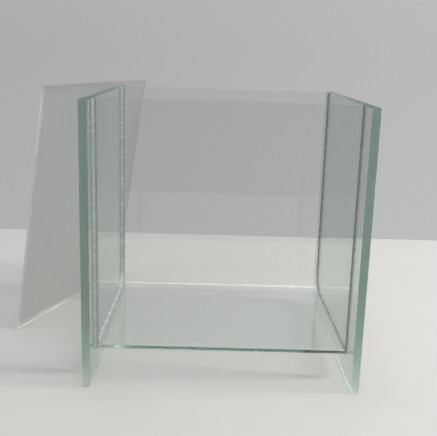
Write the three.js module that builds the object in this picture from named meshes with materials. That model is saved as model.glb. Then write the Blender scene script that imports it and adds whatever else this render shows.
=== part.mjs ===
// A small glass show tank. Two thick end plates stand on their lower edges. Between them hangs
// a trough made from one thinner sheet, bent twice so that it is front wall, floor and rear wall
// in one piece. A bead of adhesive holds each cut edge of the trough to an end plate, and the
// loose lid stands on the table, leaning on the top rear corner of the left plate.
//
// Millimetres. X runs across the tank from plate to plate, Y from front to back, Z up.
// The origin is on the table, under the middle of the whole object's box.

import * as THREE from 'three';

// ---- end plates ----
const tankWidth = 200;            // over the outer faces of the two plates
const plateThickness = 6;
const plateSide = 205;            // the plates are square: this deep and this high
const plateArris = 0.5;           // ground corner along every plate edge

// ---- trough, bent from one sheet ----
const sheetThickness = 3;
const troughDepth = 160;          // over the outer faces of the front and rear walls
const troughClearance = 17;       // from the table to the underside of the floor
const frontInnerRadius = 2;       // the front bend is tight, the rear one is soft
const rearInnerRadius = 20;
const bendSegments = 12;          // flats in each quarter turn

// ---- adhesive beads ----
const beadThickness = 1;          // between the trough's cut edge and the plate
const beadOverhang = 1.2;         // squeezed out past each face of the sheet
const beadTopDrop = 0.4;          // the bead stops short of the rim

// ---- lid ----
const lidLength = 210;            // lies across the tank, stands upright here
const lidDepth = 176;
const lidThickness = 3;
const lidArris = 0.4;
const lidTurn = THREE.MathUtils.degToRad(69);   // from +X to the lid's lower edge
const lidFootDistance = 32;       // from the plate's corner out to the lower edge, seen from above
const lidTouchPoint = 120;        // along the lower edge, from its front end to under the corner
const lidGap = 0.3;               // between the lid and the corner that it leans on

// ---- worked out from the above ----
const plateInnerX = tankWidth / 2 - plateThickness;
const sheetEndX = plateInnerX - beadThickness;
const middleHalfDepth = (troughDepth - sheetThickness) / 2;
const middleFloorHeight = troughClearance + sheetThickness / 2;
const frontMiddleRadius = frontInnerRadius + sheetThickness / 2;
const rearMiddleRadius = rearInnerRadius + sheetThickness / 2;
const rimHeight = plateSide;

// ---- materials ----
const plateGlass = new THREE.MeshStandardMaterial({ color: 0x9cc4b8, roughness: 0.04, metalness: 0 });
const sheetGlass = new THREE.MeshStandardMaterial({ color: 0xc4dad4, roughness: 0.04, metalness: 0 });
const lidGlass = new THREE.MeshStandardMaterial({ color: 0xaebfbb, roughness: 0.1, metalness: 0 });
const beadSealant = new THREE.MeshStandardMaterial({ color: 0x7d8985, roughness: 0.45, metalness: 0 });

// Outlines are drawn in the tank's side view, with depth along the drawing's x and height along
// its y, and then stand up so that the extrusion runs along the tank's X.
function standUp(geometry) {
  const alongDepth = new THREE.Vector3(0, 1, 0);
  const alongHeight = new THREE.Vector3(0, 0, 1);
  const alongWidth = new THREE.Vector3(1, 0, 0);
  return geometry.applyMatrix4(new THREE.Matrix4().makeBasis(alongDepth, alongHeight, alongWidth));
}

// A flat pane with its lower front corner at the origin: `width` along the drawing's x,
// `height` along its y, and a ground arris round both faces.
function paneGeometry(width, height, thickness, arris) {
  const outline = new THREE.Shape();
  outline.moveTo(arris, arris);
  outline.lineTo(width - arris, arris);
  outline.lineTo(width - arris, height - arris);
  outline.lineTo(arris, height - arris);
  outline.closePath();
  const geometry = new THREE.ExtrudeGeometry(outline, {
    depth: thickness - 2 * arris,
    bevelEnabled: true,
    bevelThickness: arris,
    bevelSize: arris,
    bevelSegments: 1,
  });
  return geometry.translate(0, 0, arris);
}

// The U-shaped band that lies between two offsets from the sheet's middle surface.
function troughBandShape(outward, inward, top) {
  const halfOuter = middleHalfDepth + outward;
  const halfInner = middleHalfDepth - inward;
  const frontY = frontMiddleRadius - middleHalfDepth;
  const frontZ = middleFloorHeight + frontMiddleRadius;
  const rearY = middleHalfDepth - rearMiddleRadius;
  const rearZ = middleFloorHeight + rearMiddleRadius;
  const quarter = Math.PI / 2;

  const band = new THREE.Shape();
  band.moveTo(-halfOuter, top);
  band.absarc(frontY, frontZ, frontMiddleRadius + outward, 2 * quarter, 3 * quarter, false);
  band.absarc(rearY, rearZ, rearMiddleRadius + outward, 3 * quarter, 4 * quarter, false);
  band.lineTo(halfOuter, top);
  band.lineTo(halfInner, top);
  band.absarc(rearY, rearZ, rearMiddleRadius - inward, 4 * quarter, 3 * quarter, true);
  band.absarc(frontY, frontZ, frontMiddleRadius - inward, 3 * quarter, 2 * quarter, true);
  band.lineTo(-halfInner, top);
  band.closePath();
  return band;
}

function troughBandGeometry(outward, inward, top, length) {
  const shape = troughBandShape(outward, inward, top);
  const geometry = new THREE.ExtrudeGeometry(shape, {
    depth: length,
    bevelEnabled: false,
    curveSegments: bendSegments,
  });
  return standUp(geometry);
}

function endPlate(name, innerFaceX, outward) {
  const geometry = standUp(paneGeometry(plateSide, plateSide, plateThickness, plateArris));
  const plate = new THREE.Mesh(geometry, plateGlass);
  plate.name = name;
  const lowX = outward > 0 ? innerFaceX : innerFaceX - plateThickness;
  plate.position.set(lowX, -plateSide / 2, 0);
  return plate;
}

function troughSheet() {
  const half = sheetThickness / 2;
  const geometry = troughBandGeometry(half, half, rimHeight, 2 * sheetEndX);
  const sheet = new THREE.Mesh(geometry, sheetGlass);
  sheet.name = 'trough_sheet';
  sheet.position.x = -sheetEndX;
  return sheet;
}

function jointBead(name, lowX) {
  const reach = sheetThickness / 2 + beadOverhang;
  const geometry = troughBandGeometry(reach, reach, rimHeight - beadTopDrop, beadThickness);
  const bead = new THREE.Mesh(geometry, beadSealant);
  bead.name = name;
  bead.position.x = lowX;
  return bead;
}

// The lid stands on its lower edge and leans towards the tank until its face meets the top rear
// corner of the left plate. Its own axes are: x along the lower edge, y away from the tank, z up.
function leaningLid() {
  const geometry = paneGeometry(lidDepth, lidLength, lidThickness, lidArris);
  const alongEdge = new THREE.Vector3(1, 0, 0);
  const upwards = new THREE.Vector3(0, 0, 1);
  const towardsTank = new THREE.Vector3(0, -1, 0);
  geometry.applyMatrix4(new THREE.Matrix4().makeBasis(alongEdge, upwards, towardsTank));
  geometry.translate(0, lidThickness, 0);

  const lean = Math.atan((lidFootDistance - lidGap) / plateSide);
  const lid = new THREE.Mesh(geometry, lidGlass);
  lid.name = 'lid';
  lid.rotation.x = lean;
  lid.position.z = -lidArris * Math.sin(lean);    // down onto the inner line of its arris

  const cornerX = -tankWidth / 2;
  const cornerY = plateSide / 2;
  const edgeX = Math.cos(lidTurn);
  const edgeY = Math.sin(lidTurn);
  const footing = new THREE.Group();
  footing.position.set(
    cornerX - edgeY * lidFootDistance - edgeX * lidTouchPoint,
    cornerY + edgeX * lidFootDistance - edgeY * lidTouchPoint,
    0,
  );
  footing.rotation.z = lidTurn;
  footing.add(lid);
  return footing;
}

const group = new THREE.Group();
group.add(endPlate('left_end_plate', -plateInnerX, -1));
group.add(endPlate('right_end_plate', plateInnerX, 1));
group.add(troughSheet());
group.add(jointBead('left_joint_bead', -plateInnerX));
group.add(jointBead('right_joint_bead', sheetEndX));
group.add(leaningLid());

// Stand everything on z = 0 and centre the whole box over the origin.
const box = new THREE.Box3().setFromObject(group, true);
const centre = box.getCenter(new THREE.Vector3());
group.position.set(-centre.x, -centre.y, -box.min.z);
group.updateMatrixWorld(true);

export default group;
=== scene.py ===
import math
import bmesh
import bpy
from mathutils import Matrix, Vector, noise


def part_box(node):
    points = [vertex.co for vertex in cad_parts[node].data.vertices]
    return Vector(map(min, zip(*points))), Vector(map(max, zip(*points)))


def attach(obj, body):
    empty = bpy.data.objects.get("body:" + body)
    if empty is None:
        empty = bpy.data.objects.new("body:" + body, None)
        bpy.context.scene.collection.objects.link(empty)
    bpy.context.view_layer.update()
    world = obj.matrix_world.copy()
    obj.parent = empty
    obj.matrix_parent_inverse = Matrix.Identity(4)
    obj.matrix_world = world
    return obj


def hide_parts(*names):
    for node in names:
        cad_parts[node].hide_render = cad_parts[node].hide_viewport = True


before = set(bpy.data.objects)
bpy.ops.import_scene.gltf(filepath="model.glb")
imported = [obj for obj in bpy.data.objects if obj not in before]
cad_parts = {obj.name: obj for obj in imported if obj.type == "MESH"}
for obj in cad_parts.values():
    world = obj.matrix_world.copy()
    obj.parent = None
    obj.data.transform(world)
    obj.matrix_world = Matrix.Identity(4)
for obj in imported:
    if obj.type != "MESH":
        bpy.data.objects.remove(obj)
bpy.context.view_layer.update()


# The camera stands a little over half a metre in front of the tank and looks down into it
# over the front wall. The tank stands on the table at z = 0, and x runs along its width.
left_low, left_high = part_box("left_end_plate")
right_low, right_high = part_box("right_end_plate")
tank_middle = Vector(((left_low.x + right_high.x) / 2, (left_low.y + left_high.y) / 2, 0))

eye_offset = Vector((-0.0110, -0.5679, 0.2376))
eye_turn_right = math.radians(0.70)
eye_look_down = math.radians(13.29)
eye_tilt = math.radians(1.73)
eye_lens = 57.85
eye_sensor = 36.0

eye_data = bpy.data.cameras.new("eye")
eye_data.lens = eye_lens
eye_data.sensor_width = eye_sensor
eye_data.clip_start = 0.01
eye_data.clip_end = 100
eye = bpy.data.objects.new("eye", eye_data)
bpy.context.collection.objects.link(eye)
eye.matrix_world = (
    Matrix.Translation(tank_middle + eye_offset)
    @ Matrix.Rotation(-eye_turn_right, 4, "Z")
    @ Matrix.Rotation(math.radians(90) - eye_look_down, 4, "X")
    @ Matrix.Rotation(eye_tilt, 4, "Z")
)
bpy.context.scene.camera = eye


# The table: a pale laminated slab with softly rounded edges and a satin face. It reaches
# further in front of the tank than behind it.
def add_object(name, mesh):
    made = bpy.data.objects.new(name, mesh)
    bpy.context.collection.objects.link(made)
    return made


def add_node(tree, kind, **inputs):
    node = tree.nodes.new(kind)
    for key, value in inputs.items():
        node.inputs[key.replace("_", " ")].default_value = value
    return node


table_half_width = 1.1
table_front = 0.47
table_back = 0.345
table_thickness = 0.03
table_edge_radius = 0.004
table_drop = 0.0001

table_mesh = bpy.data.meshes.new("table")
shape = bmesh.new()
bmesh.ops.create_cube(shape, size=1)
bmesh.ops.scale(
    shape, verts=shape.verts, vec=(2 * table_half_width, table_front + table_back, table_thickness)
)
bmesh.ops.translate(
    shape,
    verts=shape.verts,
    vec=tank_middle
    + Vector((0, (table_back - table_front) / 2, -table_thickness / 2 - table_drop)),
)
bmesh.ops.bevel(
    shape, geom=shape.edges[:], offset=table_edge_radius, segments=6, profile=0.5, affect="EDGES"
)
shape.to_mesh(table_mesh)
shape.free()
table = add_object("table", table_mesh)

laminate = bpy.data.materials.new("pale_laminate")
laminate.use_nodes = True
tree = laminate.node_tree
principled = tree.nodes["Principled BSDF"]
where = tree.nodes.new("ShaderNodeTexCoord")
mottle = add_node(tree, "ShaderNodeTexNoise", Scale=7.0, Detail=5.0, Roughness=0.55)
tree.links.new(where.outputs["Object"], mottle.inputs["Vector"])
tones = tree.nodes.new("ShaderNodeValToRGB")
tones.color_ramp.elements[0].position = 0.3
tones.color_ramp.elements[0].color = (0.655, 0.648, 0.635, 1)
tones.color_ramp.elements[1].position = 0.7
tones.color_ramp.elements[1].color = (0.685, 0.677, 0.665, 1)
tree.links.new(mottle.outputs["Fac"], tones.inputs["Fac"])
tree.links.new(tones.outputs["Color"], principled.inputs["Base Color"])
grit = add_node(tree, "ShaderNodeTexNoise", Scale=900.0, Detail=2.0)
tree.links.new(where.outputs["Object"], grit.inputs["Vector"])
grit_bump = add_node(tree, "ShaderNodeBump", Strength=0.15, Distance=0.0002)
tree.links.new(grit.outputs["Fac"], grit_bump.inputs["Height"])
tree.links.new(grit_bump.outputs["Normal"], principled.inputs["Normal"])
principled.inputs["Roughness"].default_value = 0.55
table_mesh.materials.append(laminate)


# Light: one long soft strip high up at the right, level with the tank's front, and a small tube
# overhead. The room is plain grey, lighter ahead than behind, and lighter right than left.
strip_length = 0.9
strip_width = 0.24
strip_place = tank_middle + Vector((1.08, -0.10, 1.12))
strip_watts = 15.8

strip_data = bpy.data.lights.new("light_strip", "AREA")
strip_data.shape = "RECTANGLE"
strip_data.size = strip_length
strip_data.size_y = strip_width
strip_data.energy = strip_watts
strip_data.color = (1.0, 0.985, 0.96)
strip = add_object("light_strip", strip_data)
strip.location = strip_place
strip.rotation_euler = (0, math.atan2(strip_place.x - tank_middle.x, strip_place.z), 0)

tube_length = 0.6
tube_width = 0.12
tube_place = tank_middle + Vector((0, 0.12, 1.3))
tube_watts = 1.9

tube_data = bpy.data.lights.new("ceiling_tube", "AREA")
tube_data.shape = "RECTANGLE"
tube_data.size = tube_length
tube_data.size_y = tube_width
tube_data.energy = tube_watts
tube = add_object("ceiling_tube", tube_data)
tube.location = tube_place

room = bpy.data.worlds.new("room")
room.use_nodes = True
tree = room.node_tree
background = tree.nodes["Background"]
heading = tree.nodes.new("ShaderNodeTexCoord")
split = tree.nodes.new("ShaderNodeSeparateXYZ")
tree.links.new(heading.outputs["Generated"], split.inputs["Vector"])


def room_ramp(stops):
    """Greys of the room from straight down, -1, over level, 0, to straight up, 1."""
    ramp = tree.nodes.new("ShaderNodeValToRGB")
    ramp.color_ramp.interpolation = "LINEAR"
    while len(ramp.color_ramp.elements) < len(stops):
        ramp.color_ramp.elements.new(0.5)
    for element, (height, grey) in zip(ramp.color_ramp.elements, stops):
        element.position = (height + 1) / 2
        element.color = (grey, grey, grey, 1)
    up = add_node(tree, "ShaderNodeMapRange")
    up.inputs["From Min"].default_value = -1
    tree.links.new(split.outputs["Z"], up.inputs["Value"])
    tree.links.new(up.outputs["Result"], ramp.inputs["Fac"])
    return ramp


def room_mix(axis, start, end, first, second):
    """The first room tone below start on that axis of the view, the second above end."""
    share = add_node(tree, "ShaderNodeMapRange")
    share.interpolation_type = "SMOOTHSTEP"
    share.inputs["From Min"].default_value = start
    share.inputs["From Max"].default_value = end
    tree.links.new(split.outputs[axis], share.inputs["Value"])
    mix = tree.nodes.new("ShaderNodeMix")
    mix.data_type = "RGBA"
    tree.links.new(share.outputs["Result"], mix.inputs["Factor"])
    tree.links.new(first, mix.inputs["A"])
    tree.links.new(second, mix.inputs["B"])
    return mix.outputs["Result"]


ceiling_grey = 0.6
ahead_left = room_ramp([(-1.0, 0.5), (0.0, 0.4), (1.0, ceiling_grey)])
ahead_right = room_ramp([(-1.0, 0.6), (0.0, 0.5), (1.0, ceiling_grey)])
behind = room_ramp([(-1.0, 0.2), (0.0, 0.25), (1.0, ceiling_grey)])
ahead = room_mix("X", -0.5, 0.5, ahead_left.outputs["Color"], ahead_right.outputs["Color"])
around = room_mix("Y", -0.35, 0.35, behind.outputs["Color"], ahead)
tree.links.new(around, background.inputs["Color"])
background.inputs["Strength"].default_value = 1.0
bpy.context.scene.world = room

view = bpy.context.scene.view_settings
view.view_transform = "Standard"
view.look = "None"
light_paths = bpy.context.scene.cycles
light_paths.max_bounces = 32
light_paths.transmission_bounces = 32
light_paths.glossy_bounces = 16
light_paths.diffuse_bounces = 4
light_paths.transparent_max_bounces = 32
light_paths.caustics_reflective = False
light_paths.caustics_refractive = False
light_paths.use_denoising = True


# The two end plates: thick square panes of float glass, cut, then ground along their edges
# with a small arris. The faces are bright, the ground edges satin and deep green, and here
# and there the arris has a small shell chip.
def surface_wear():
    """Group: finger smudges and settled dust, as two masks that change over a surface."""
    group = bpy.data.node_groups.new("surface_wear", "ShaderNodeTree")
    for name, value in (("Smudge Scale", 20.0), ("Smudge Amount", 0.5), ("Dust Amount", 0.5)):
        socket = group.interface.new_socket(name, in_out="INPUT", socket_type="NodeSocketFloat")
        socket.default_value = value
    group.interface.new_socket("Smudge", in_out="OUTPUT", socket_type="NodeSocketFloat")
    group.interface.new_socket("Dust", in_out="OUTPUT", socket_type="NodeSocketFloat")
    given = group.nodes.new("NodeGroupInput")
    result = group.nodes.new("NodeGroupOutput")
    where = group.nodes.new("ShaderNodeTexCoord")
    smudge = add_node(group, "ShaderNodeTexNoise", Detail=6.0, Roughness=0.62, Distortion=0.8)
    group.links.new(where.outputs["Object"], smudge.inputs["Vector"])
    group.links.new(given.outputs["Smudge Scale"], smudge.inputs["Scale"])
    smudge_range = group.nodes.new("ShaderNodeMapRange")
    smudge_range.inputs["From Min"].default_value = 0.52
    smudge_range.inputs["From Max"].default_value = 0.78
    group.links.new(smudge.outputs["Fac"], smudge_range.inputs["Value"])
    group.links.new(given.outputs["Smudge Amount"], smudge_range.inputs["To Max"])
    group.links.new(smudge_range.outputs["Result"], result.inputs["Smudge"])
    specks = add_node(group, "ShaderNodeTexVoronoi", Scale=420.0)
    group.links.new(where.outputs["Object"], specks.inputs["Vector"])
    specks_range = group.nodes.new("ShaderNodeMapRange")
    specks_range.inputs["From Min"].default_value = 0.16
    specks_range.inputs["From Max"].default_value = 0.06
    group.links.new(specks.outputs["Distance"], specks_range.inputs["Value"])
    drift = add_node(group, "ShaderNodeTexNoise", Scale=35.0, Detail=3.0)
    group.links.new(where.outputs["Object"], drift.inputs["Vector"])
    drift_range = group.nodes.new("ShaderNodeMapRange")
    drift_range.inputs["From Min"].default_value = 0.5
    drift_range.inputs["From Max"].default_value = 0.75
    group.links.new(drift.outputs["Fac"], drift_range.inputs["Value"])
    group.links.new(given.outputs["Dust Amount"], drift_range.inputs["To Max"])
    both = group.nodes.new("ShaderNodeMath")
    both.operation = "MULTIPLY"
    group.links.new(specks_range.outputs["Result"], both.inputs[0])
    group.links.new(drift_range.outputs["Result"], both.inputs[1])
    group.links.new(both.outputs["Value"], result.inputs["Dust"])
    return group


wear = surface_wear()
glass_ior = 1.52
absorption_density = 6.0
dust_tone = (0.66, 0.66, 0.63)
ground_shadow_tone = (0.42, 0.47, 0.45)
ground_grain_height = 0.06
edge_depth_tone = (0.17, 0.48, 0.37)


def float_glass(name, tint, shade, depth_tone, face_haze, ground_roughness, wave_height):
    """Soda-lime float glass of a slight tint: faces bright or hazed, ground edges satin.
    tint colours what is seen through a face, depth_tone the glass in its depth, and shade is
    the share of lamp light that a face lets through."""
    made = bpy.data.materials.new(name)
    made.use_nodes = True
    tree = made.node_tree
    principled = tree.nodes["Principled BSDF"]
    principled.inputs["Transmission Weight"].default_value = 1.0
    principled.inputs["IOR"].default_value = glass_ior
    ground = tree.nodes.new("ShaderNodeAttribute")
    ground.attribute_name = "ground"
    use = tree.nodes.new("ShaderNodeGroup")
    use.node_tree = wear
    use.inputs["Smudge Scale"].default_value = 14.0
    use.inputs["Smudge Amount"].default_value = 0.05
    use.inputs["Dust Amount"].default_value = 0.5

    marks = tree.nodes.new("ShaderNodeMath")
    marks.operation = "ADD"
    tree.links.new(use.outputs["Smudge"], marks.inputs[0])
    tree.links.new(use.outputs["Dust"], marks.inputs[1])
    face_roughness = tree.nodes.new("ShaderNodeMath")
    face_roughness.operation = "ADD"
    face_roughness.inputs[1].default_value = face_haze
    tree.links.new(marks.outputs["Value"], face_roughness.inputs[0])
    roughness = tree.nodes.new("ShaderNodeMix")
    roughness.inputs["B"].default_value = ground_roughness
    tree.links.new(ground.outputs["Fac"], roughness.inputs["Factor"])
    tree.links.new(face_roughness.outputs["Value"], roughness.inputs["A"])
    tree.links.new(roughness.outputs["Result"], principled.inputs["Roughness"])

    dusty = tree.nodes.new("ShaderNodeMix")
    dusty.data_type = "RGBA"
    dusty.inputs["A"].default_value = (*tint, 1)
    dusty.inputs["B"].default_value = (*dust_tone, 1)
    tree.links.new(use.outputs["Dust"], dusty.inputs["Factor"])
    tree.links.new(dusty.outputs["Result"], principled.inputs["Base Color"])

    where = tree.nodes.new("ShaderNodeTexCoord")
    wave = add_node(tree, "ShaderNodeTexNoise", Scale=9.0, Detail=1.0)
    tree.links.new(where.outputs["Object"], wave.inputs["Vector"])
    grain = add_node(tree, "ShaderNodeTexNoise", Scale=2600.0, Detail=2.0)
    tree.links.new(where.outputs["Object"], grain.inputs["Vector"])
    wave_part = tree.nodes.new("ShaderNodeMath")
    wave_part.operation = "MULTIPLY"
    wave_part.inputs[1].default_value = wave_height
    tree.links.new(wave.outputs["Fac"], wave_part.inputs[0])
    grain_part = tree.nodes.new("ShaderNodeMath")
    grain_part.operation = "MULTIPLY"
    tree.links.new(grain.outputs["Fac"], grain_part.inputs[0])
    tree.links.new(ground.outputs["Fac"], grain_part.inputs[1])
    height = tree.nodes.new("ShaderNodeMath")
    height.operation = "MULTIPLY_ADD"
    height.inputs[1].default_value = ground_grain_height
    tree.links.new(grain_part.outputs["Value"], height.inputs[0])
    tree.links.new(wave_part.outputs["Value"], height.inputs[2])
    bump = add_node(tree, "ShaderNodeBump", Strength=1.0, Distance=0.001)
    tree.links.new(height.outputs["Value"], bump.inputs["Height"])
    tree.links.new(bump.outputs["Normal"], principled.inputs["Normal"])

    inside = tree.nodes.new("ShaderNodeVolumeAbsorption")
    inside.inputs["Color"].default_value = (*depth_tone, 1)
    inside.inputs["Density"].default_value = absorption_density
    result = tree.nodes["Material Output"]
    tree.links.new(inside.outputs["Volume"], result.inputs["Volume"])

    paths = tree.nodes.new("ShaderNodeLightPath")
    soft_shadow = tree.nodes.new("ShaderNodeBsdfTransparent")
    shadow_tone = tree.nodes.new("ShaderNodeMix")
    shadow_tone.data_type = "RGBA"
    shadow_tone.inputs["A"].default_value = (shade, shade + 0.006, shade + 0.003, 1)
    shadow_tone.inputs["B"].default_value = (*ground_shadow_tone, 1)
    tree.links.new(ground.outputs["Fac"], shadow_tone.inputs["Factor"])
    tree.links.new(shadow_tone.outputs["Result"], soft_shadow.inputs["Color"])
    seen_or_shadow = tree.nodes.new("ShaderNodeMixShader")
    tree.links.new(paths.outputs["Is Shadow Ray"], seen_or_shadow.inputs["Fac"])
    tree.links.new(principled.outputs["BSDF"], seen_or_shadow.inputs[1])
    tree.links.new(soft_shadow.outputs["BSDF"], seen_or_shadow.inputs[2])
    seen_or_scattered = tree.nodes.new("ShaderNodeMixShader")
    tree.links.new(paths.outputs["Is Diffuse Ray"], seen_or_scattered.inputs["Fac"])
    tree.links.new(seen_or_shadow.outputs["Shader"], seen_or_scattered.inputs[1])
    tree.links.new(soft_shadow.outputs["BSDF"], seen_or_scattered.inputs[2])
    tree.links.new(seen_or_scattered.outputs["Shader"], result.inputs["Surface"])
    return made


outline_step = 0.0015
arris_wander = 0.22
arris_wander_scale = 160


def ground_pane(name, length, height, thickness, arris, chips, seed):
    """A pane with ground edges: faces at x = 0 and x = thickness, corners at y = z = 0.
    chips is a list of (place along the outline, half width, depth) of small shells."""
    outline = []
    corners = [(0, 0), (length, 0), (length, height), (0, height)]
    travelled = 0
    for i in range(4):
        (y0, z0), (y1, z1) = corners[i], corners[(i + 1) % 4]
        side = math.hypot(y1 - y0, z1 - z0)
        count = round(side / outline_step)
        for k in range(count):
            t = k / count
            outline.append((y0 + (y1 - y0) * t, z0 + (z1 - z0) * t, travelled + side * t))
        travelled += side
    rings = [[], [], [], []]
    shape = bmesh.new()
    for y, z, place in outline:
        for k, inset_share in enumerate((1, 0, 0, 1)):
            face = 0 if k < 2 else 1
            wander = noise.noise(Vector((place * arris_wander_scale, seed + 5 * face, 0)))
            cut = arris * (1 + arris_wander * wander)
            for chip_face, chip_place, half_width, depth in chips:
                if chip_face == face:
                    reach = (place - chip_place) / half_width
                    cut += depth * max(0, 1 - reach * reach)
            inset = cut * inset_share
            inner_y = min(max(y, inset), length - inset)
            inner_z = min(max(z, inset), height - inset)
            x = (0, cut, thickness - cut, thickness)[k]
            rings[k].append(shape.verts.new((x, inner_y, inner_z)))
    count = len(outline)
    ground_faces = set()
    for k in range(3):
        for i in range(count):
            j = (i + 1) % count
            ground_faces.add(
                shape.faces.new((rings[k][i], rings[k + 1][i], rings[k + 1][j], rings[k][j]))
            )
    shape.faces.new(rings[0][::-1])
    shape.faces.new(rings[3])
    bmesh.ops.recalc_face_normals(shape, faces=shape.faces)
    mesh = bpy.data.meshes.new(name)
    marks = [1.0 if face in ground_faces else 0.0 for face in shape.faces]
    shape.to_mesh(mesh)
    shape.free()
    ground = mesh.attributes.new("ground", "FLOAT", "FACE")
    ground.data.foreach_set("value", marks)
    return mesh


plate_thickness = left_high.x - left_low.x
plate_depth = left_high.y - left_low.y
plate_height = left_high.z - left_low.z
plate_arris = 0.0005
plate_glass = float_glass(
    "plate_glass",
    tint=(0.705, 0.76, 0.725),
    shade=0.90,
    depth_tone=edge_depth_tone,
    face_haze=0.0,
    ground_roughness=0.7,
    wave_height=0.02,
)
plate_chips = {
    "left_end_plate": [(0, 0.437, 0.0016, 0.0006), (1, 0.112, 0.0011, 0.0004)],
    "right_end_plate": [(0, 0.253, 0.0013, 0.0005), (1, 0.668, 0.0018, 0.0007)],
}
for seed, node in enumerate(("left_end_plate", "right_end_plate")):
    low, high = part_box(node)
    mesh = ground_pane(
        node + "_glass", plate_depth, plate_height, plate_thickness, plate_arris,
        plate_chips[node], 11 + seed,
    )
    mesh.transform(Matrix.Translation(low))
    mesh.materials.append(plate_glass)
    plate = add_object(node + "_glass", mesh)
    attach(plate, "tank")
    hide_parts(node)


# The trough: one thinner sheet of float glass, heated and bent along two lines, so that front
# wall, floor and rear wall are one piece. The front bend is tight and the rear one is soft, and
# the upper edges are ground.
trough_low, trough_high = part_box("trough_sheet")
sheet_thickness = 0.003
front_bend_radius = 0.0012
rear_bend_radius = 0.020
front_rise = 0.0020
rear_dip = 0.0010
bend_steps = 28
sheet_arris = 0.0002
sheet_point_spacing = 0.0012
rim_reach = 0.00001


def fold_line(x, top):
    """The corners of the bent sheet's middle line, front rim to rear rim, before bending.
    The floor falls a little from front to rear."""
    front = trough_low.y + sheet_thickness / 2
    rear = trough_high.y - sheet_thickness / 2
    floor = trough_low.z + sheet_thickness / 2
    return [
        (x, front, top),
        (x, front, floor + front_rise),
        (x, rear, floor - rear_dip),
        (x, rear, top),
    ]


def line_and_section(name, line, section, free):
    """A mesh of loose edges: an open line with its bend radii, and a closed section."""
    mesh = bpy.data.meshes.new(name)
    points = list(line) + [(x, y, 0) for x, y in section]
    edges = [(i, i + 1) for i in range(len(line) - 1)]
    start = len(line)
    count = len(section)
    edges += [(start + i, start + (i + 1) % count) for i in range(count)]
    mesh.from_pydata(points, edges, [])
    is_section = mesh.attributes.new("is_section", "FLOAT", "POINT")
    is_section.data.foreach_set("value", [0.0] * start + [1.0] * count)
    loose = mesh.attributes.new("free", "FLOAT", "POINT")
    loose.data.foreach_set("value", [0.0] * start + list(free))
    bend = mesh.attributes.new("bend_radius", "FLOAT", "POINT")
    front = front_bend_radius + sheet_thickness / 2
    rear = rear_bend_radius + sheet_thickness / 2
    bend.data.foreach_set("value", [0.0, front, rear, 0.0] + [0.0] * count)
    return mesh


def named_input(tree, name, kind, value=None):
    socket = tree.interface.new_socket(name, in_out="INPUT", socket_type=kind)
    if value is not None:
        socket.default_value = value
    return socket


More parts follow.
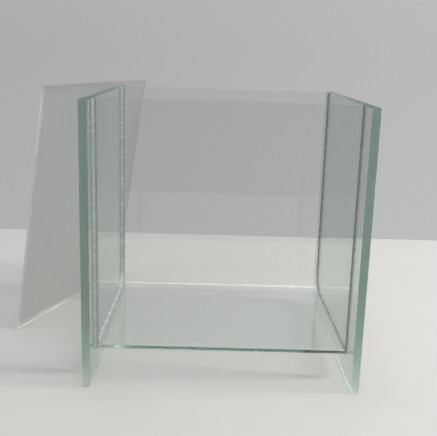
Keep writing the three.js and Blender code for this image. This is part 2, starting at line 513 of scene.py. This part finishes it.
def swept_tree(name):
    """Geometry Nodes that bend the line with round corners and run the section along it."""
    tree = bpy.data.node_groups.new(name, "GeometryNodeTree")
    named_input(tree, "Line and Section", "NodeSocketGeometry")
    named_input(tree, "Bend Steps", "NodeSocketInt", 24)
    named_input(tree, "Point Spacing", "NodeSocketFloat", 0.002)
    named_input(tree, "Unevenness", "NodeSocketFloat", 0.0)
    named_input(tree, "Seed", "NodeSocketFloat", 0.0)
    named_input(tree, "Bubbles per Square Metre", "NodeSocketFloat", 0.0)
    named_input(tree, "Material", "NodeSocketMaterial")
    tree.interface.new_socket("Geometry", in_out="OUTPUT", socket_type="NodeSocketGeometry")
    given = tree.nodes.new("NodeGroupInput")
    result = tree.nodes.new("NodeGroupOutput")

    mark = tree.nodes.new("GeometryNodeInputNamedAttribute")
    mark.data_type = "FLOAT"
    mark.inputs["Name"].default_value = "is_section"
    is_section = tree.nodes.new("FunctionNodeCompare")
    is_section.data_type = "FLOAT"
    is_section.operation = "GREATER_THAN"
    is_section.inputs["B"].default_value = 0.5
    tree.links.new(mark.outputs["Attribute"], is_section.inputs["A"])
    parts = tree.nodes.new("GeometryNodeSeparateGeometry")
    tree.links.new(given.outputs["Line and Section"], parts.inputs["Geometry"])
    tree.links.new(is_section.outputs["Result"], parts.inputs["Selection"])

    section = tree.nodes.new("GeometryNodeMeshToCurve")
    tree.links.new(parts.outputs["Selection"], section.inputs["Mesh"])
    line = tree.nodes.new("GeometryNodeMeshToCurve")
    tree.links.new(parts.outputs["Inverted"], line.inputs["Mesh"])
    bent = tree.nodes.new("GeometryNodeFilletCurve")
    bent.mode = "POLY"
    tree.links.new(line.outputs["Curve"], bent.inputs["Curve"])
    tree.links.new(given.outputs["Bend Steps"], bent.inputs["Count"])
    radius = tree.nodes.new("GeometryNodeInputNamedAttribute")
    radius.data_type = "FLOAT"
    radius.inputs["Name"].default_value = "bend_radius"
    tree.links.new(radius.outputs["Attribute"], bent.inputs["Radius"])
    spaced = tree.nodes.new("GeometryNodeResampleCurve")
    spaced.mode = "LENGTH"
    tree.links.new(bent.outputs["Curve"], spaced.inputs["Curve"])
    tree.links.new(given.outputs["Point Spacing"], spaced.inputs["Length"])
    sweep = tree.nodes.new("GeometryNodeCurveToMesh")
    sweep.inputs["Fill Caps"].default_value = True
    tree.links.new(spaced.outputs["Curve"], sweep.inputs["Curve"])
    tree.links.new(section.outputs["Curve"], sweep.inputs["Profile Curve"])

    place = tree.nodes.new("GeometryNodeInputPosition")
    ripple = add_node(tree, "ShaderNodeTexNoise", Scale=130.0, Detail=3.0, Roughness=0.6)
    ripple.noise_dimensions = "4D"
    tree.links.new(place.outputs["Position"], ripple.inputs["Vector"])
    tree.links.new(given.outputs["Seed"], ripple.inputs["W"])
    swing = add_node(tree, "ShaderNodeMapRange")
    swing.inputs["From Min"].default_value = 0.3
    swing.inputs["From Max"].default_value = 0.7
    swing.inputs["To Min"].default_value = -1.0
    tree.links.new(ripple.outputs["Fac"], swing.inputs["Value"])
    loose = tree.nodes.new("GeometryNodeInputNamedAttribute")
    loose.data_type = "FLOAT"
    loose.inputs["Name"].default_value = "free"
    amount = tree.nodes.new("ShaderNodeMath")
    amount.operation = "MULTIPLY"
    tree.links.new(loose.outputs["Attribute"], amount.inputs[0])
    tree.links.new(given.outputs["Unevenness"], amount.inputs[1])
    push = tree.nodes.new("ShaderNodeMath")
    push.operation = "MULTIPLY"
    tree.links.new(swing.outputs["Result"], push.inputs[0])
    tree.links.new(amount.outputs["Value"], push.inputs[1])
    outwards = tree.nodes.new("GeometryNodeInputNormal")
    offset = tree.nodes.new("ShaderNodeVectorMath")
    offset.operation = "SCALE"
    tree.links.new(outwards.outputs["Normal"], offset.inputs["Vector"])
    tree.links.new(push.outputs["Value"], offset.inputs["Scale"])
    uneven = tree.nodes.new("GeometryNodeSetPosition")
    tree.links.new(sweep.outputs["Mesh"], uneven.inputs["Geometry"])
    tree.links.new(offset.outputs["Vector"], uneven.inputs["Offset"])

    scatter = tree.nodes.new("GeometryNodeDistributePointsOnFaces")
    scatter.inputs["Seed"].default_value = 7
    tree.links.new(uneven.outputs["Geometry"], scatter.inputs["Mesh"])
    tree.links.new(given.outputs["Bubbles per Square Metre"], scatter.inputs["Density"])
    ball = add_node(tree, "GeometryNodeMeshIcoSphere", Radius=0.001, Subdivisions=2)
    size = tree.nodes.new("FunctionNodeRandomValue")
    size.inputs[2].default_value = 0.12
    size.inputs[3].default_value = 0.40
    size.inputs["Seed"].default_value = 3
    balls = tree.nodes.new("GeometryNodeInstanceOnPoints")
    tree.links.new(scatter.outputs["Points"], balls.inputs["Points"])
    tree.links.new(ball.outputs["Mesh"], balls.inputs["Instance"])
    tree.links.new(size.outputs[1], balls.inputs["Scale"])
    joined = tree.nodes.new("GeometryNodeJoinGeometry")
    tree.links.new(uneven.outputs["Geometry"], joined.inputs["Geometry"])
    tree.links.new(balls.outputs["Instances"], joined.inputs["Geometry"])
    real = tree.nodes.new("GeometryNodeRealizeInstances")
    tree.links.new(joined.outputs["Geometry"], real.inputs["Geometry"])
    finish = tree.nodes.new("GeometryNodeSetMaterial")
    tree.links.new(real.outputs["Geometry"], finish.inputs["Geometry"])
    tree.links.new(given.outputs["Material"], finish.inputs["Material"])
    tree.links.new(finish.outputs["Geometry"], result.inputs["Geometry"])
    return tree


def grow(name, start_mesh, tree, **inputs):
    """Runs a Geometry Nodes tree once on a start mesh and keeps the result as a plain mesh."""
    start = add_object(name + "_start", start_mesh)
    modifier = start.modifiers.new("grow", "NODES")
    modifier.node_group = tree
    sockets = {item.name: item.identifier for item in tree.interface.items_tree}
    for key, value in inputs.items():
        modifier[sockets[key.replace("_", " ")]] = value
    start.update_tag()
    seen = start.evaluated_get(bpy.context.evaluated_depsgraph_get())
    mesh = bpy.data.meshes.new_from_object(seen)
    mesh.name = name
    start.modifiers.remove(modifier)
    bpy.data.objects.remove(start)
    return mesh


def tidy_shell(mesh, smooth_angle):
    """Merges doubles, turns every face outwards and shades it smooth up to a fold angle."""
    shape = bmesh.new()
    shape.from_mesh(mesh)
    bmesh.ops.remove_doubles(shape, verts=shape.verts, dist=1e-6)
    bmesh.ops.recalc_face_normals(shape, faces=shape.faces)
    shape.to_mesh(mesh)
    shape.free()
    mesh.shade_smooth()
    mesh.set_sharp_from_angle(angle=smooth_angle)


def sheet_section(half_length, half_thickness, arris):
    """The sheet's cross-section, its long sides the faces and its ends the cut edges."""
    return [
        (-half_length + arris, -half_thickness),
        (half_length - arris, -half_thickness),
        (half_length, -half_thickness + arris),
        (half_length, half_thickness - arris),
        (half_length - arris, half_thickness),
        (-half_length + arris, half_thickness),
        (-half_length, half_thickness - arris),
        (-half_length, -half_thickness + arris),
    ]


sweeper = swept_tree("bend_and_sweep")
sheet_glass = float_glass(
    "sheet_glass",
    tint=(0.96, 0.97, 0.965),
    shade=0.965,
    depth_tone=(0.0, 0.24, 0.14),
    face_haze=0.0,
    ground_roughness=0.45,
    wave_height=0.02,
)
trough_section = sheet_section(
    (trough_high.x - trough_low.x) / 2, sheet_thickness / 2, sheet_arris
)
trough_mesh = grow(
    "trough_sheet_glass",
    line_and_section(
        "trough_start",
        fold_line((trough_low.x + trough_high.x) / 2, trough_high.z),
        trough_section,
        [0.0] * len(trough_section),
    ),
    sweeper,
    Bend_Steps=bend_steps,
    Point_Spacing=sheet_point_spacing,
    Material=sheet_glass,
)
tidy_shell(trough_mesh, math.radians(25))
ground = trough_mesh.attributes.new("ground", "FLOAT", "FACE")
ground.data.foreach_set(
    "value",
    [
        1.0 if abs(face.normal.x) > 0.5 or face.center.z > trough_high.z - rim_reach else 0.0
        for face in trough_mesh.polygons
    ],
)
trough = add_object("trough_sheet_glass", trough_mesh)
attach(trough, "tank")
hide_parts("trough_sheet")


# The two joint beads: adhesive between the trough's cut edges and the end plates, milky at the
# left and grey-green at the right. It was pressed out by hand, so the fillets are uneven and
# hold small bubbles.
bead_gap = 0.00005
bead_arc_points = 6
bead_point_spacing = 0.0008
bead_unevenness = 0.00016


def bead_section(side, thickness, reach, climb):
    """Section of one bead. x runs from the plate's face towards the trough, y across the sheet;
    reach is how far its fillet stands out along the plate, climb how far along the sheet.
    Returns the points and how freely each may move."""
    half = sheet_thickness / 2 + bead_gap
    plate_face = bead_gap
    cut_edge = thickness - bead_gap
    points = []
    free = []
    for sign in (-1, 1):
        arc = []
        for k in range(bead_arc_points):
            turn = k / (bead_arc_points - 1) * math.pi / 2
            across = half + reach * (1 - math.sin(turn))
            along = plate_face + (cut_edge + climb - plate_face) * (1 - math.cos(turn))
            arc.append((along, sign * across, 0.0 if k in (0, bead_arc_points - 1) else 1.0))
        wall = [(cut_edge, sign * half, 0.0)]
        run = arc + wall
        for along, across, loose in run if sign < 0 else run[::-1]:
            points.append((side * along, across))
            free.append(loose)
    return points, free


sealant = bpy.data.materials.new("joint_sealant")
sealant.use_nodes = True
tree = sealant.node_tree
principled = tree.nodes["Principled BSDF"]
principled.inputs["Transmission Weight"].default_value = 0.25
principled.inputs["IOR"].default_value = 1.45
where = tree.nodes.new("ShaderNodeTexCoord")
cloud = add_node(tree, "ShaderNodeTexNoise", Scale=160.0, Detail=4.0, Roughness=0.6)
tree.links.new(where.outputs["Object"], cloud.inputs["Vector"])
cloud_tones = tree.nodes.new("ShaderNodeValToRGB")
cloud_tones.color_ramp.elements[0].position = 0.35
cloud_tones.color_ramp.elements[0].color = (0.42, 0.48, 0.45, 1)
cloud_tones.color_ramp.elements[1].position = 0.65
cloud_tones.color_ramp.elements[1].color = (0.56, 0.62, 0.59, 1)
tree.links.new(cloud.outputs["Fac"], cloud_tones.inputs["Fac"])
milky = tree.nodes.new("ShaderNodeAttribute")
milky.attribute_name = "milky"
milky_tone = tree.nodes.new("ShaderNodeMix")
milky_tone.data_type = "RGBA"
milky_tone.inputs["B"].default_value = (0.74, 0.78, 0.76, 1)
tree.links.new(milky.outputs["Fac"], milky_tone.inputs["Factor"])
tree.links.new(cloud_tones.outputs["Color"], milky_tone.inputs["A"])
tree.links.new(milky_tone.outputs["Result"], principled.inputs["Base Color"])
film = add_node(tree, "ShaderNodeMapRange")
film.inputs["To Min"].default_value = 0.12
film.inputs["To Max"].default_value = 0.4
tree.links.new(cloud.outputs["Fac"], film.inputs["Value"])
tree.links.new(film.outputs["Result"], principled.inputs["Roughness"])
lumps = add_node(tree, "ShaderNodeTexNoise", Scale=700.0, Detail=2.0)
tree.links.new(where.outputs["Object"], lumps.inputs["Vector"])
lumps_bump = add_node(tree, "ShaderNodeBump", Strength=0.2, Distance=0.0001)
tree.links.new(lumps.outputs["Fac"], lumps_bump.inputs["Height"])
tree.links.new(lumps_bump.outputs["Normal"], principled.inputs["Normal"])

for node, side, seed, reach, climb, cloudiness, bubbles in (
    ("left_joint_bead", 1, 2.0, 0.0011, 0.0012, 0.75, 4000.0),
    ("right_joint_bead", -1, 9.0, 0.0006, 0.0003, 0.0, 700.0),
):
    low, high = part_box(node)
    plate_face = low.x if side > 0 else high.x
    section, free = bead_section(side, high.x - low.x, reach, climb)
    mesh = grow(
        node + "_adhesive",
        line_and_section(node + "_start", fold_line(plate_face, high.z), section, free),
        sweeper,
        Bend_Steps=bend_steps,
        Point_Spacing=bead_point_spacing,
        Unevenness=bead_unevenness,
        Seed=seed,
        Bubbles_per_Square_Metre=bubbles,
        Material=sealant,
    )
    tidy_shell(mesh, math.radians(50))
    milk = mesh.attributes.new("milky", "FLOAT", "FACE")
    milk.data.foreach_set("value", [cloudiness] * len(mesh.polygons))
    bead = add_object(node + "_adhesive", mesh)
    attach(bead, "tank")
    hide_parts(node)


# The lid: a loose pane as thick as the trough's sheet, its faces satin and its edges ground. It
# stands on its lower edge and leans on the top rear corner of the left plate.
lid_low, lid_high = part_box("lid")
lid_length = 0.210
lid_depth = 0.176
lid_arris = 0.0004
lid_turn = math.radians(69)
lid_foot_distance = 0.032
lid_gap = 0.0003
lid_lean = math.atan((lid_foot_distance - lid_gap) / plate_height)

lid_glass = float_glass(
    "lid_glass",
    tint=(0.69, 0.685, 0.675),
    shade=0.76,
    depth_tone=edge_depth_tone,
    face_haze=0.6,
    ground_roughness=0.6,
    wave_height=0.03,
)
lid_mesh = ground_pane(
    "lid_glass_pane", lid_depth, lid_length, sheet_thickness, lid_arris,
    [(0, 0.205, 0.0016, 0.0006), (1, 0.483, 0.0012, 0.0005)], 31,
)
lid_mesh.transform(Matrix.Translation((-sheet_thickness, 0, 0)))
lid_mesh.transform(Matrix.Rotation(lid_lean, 4, "Y"))
lid_mesh.transform(Matrix.Rotation(lid_turn - math.radians(90), 4, "Z"))
made_low = Vector([min(v.co[i] for v in lid_mesh.vertices) for i in range(3)])
lid_mesh.transform(Matrix.Translation(lid_low - made_low))
lid_mesh.materials.append(lid_glass)
lid = add_object("lid_glass_pane", lid_mesh)
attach(lid, "lid")
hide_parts("lid")
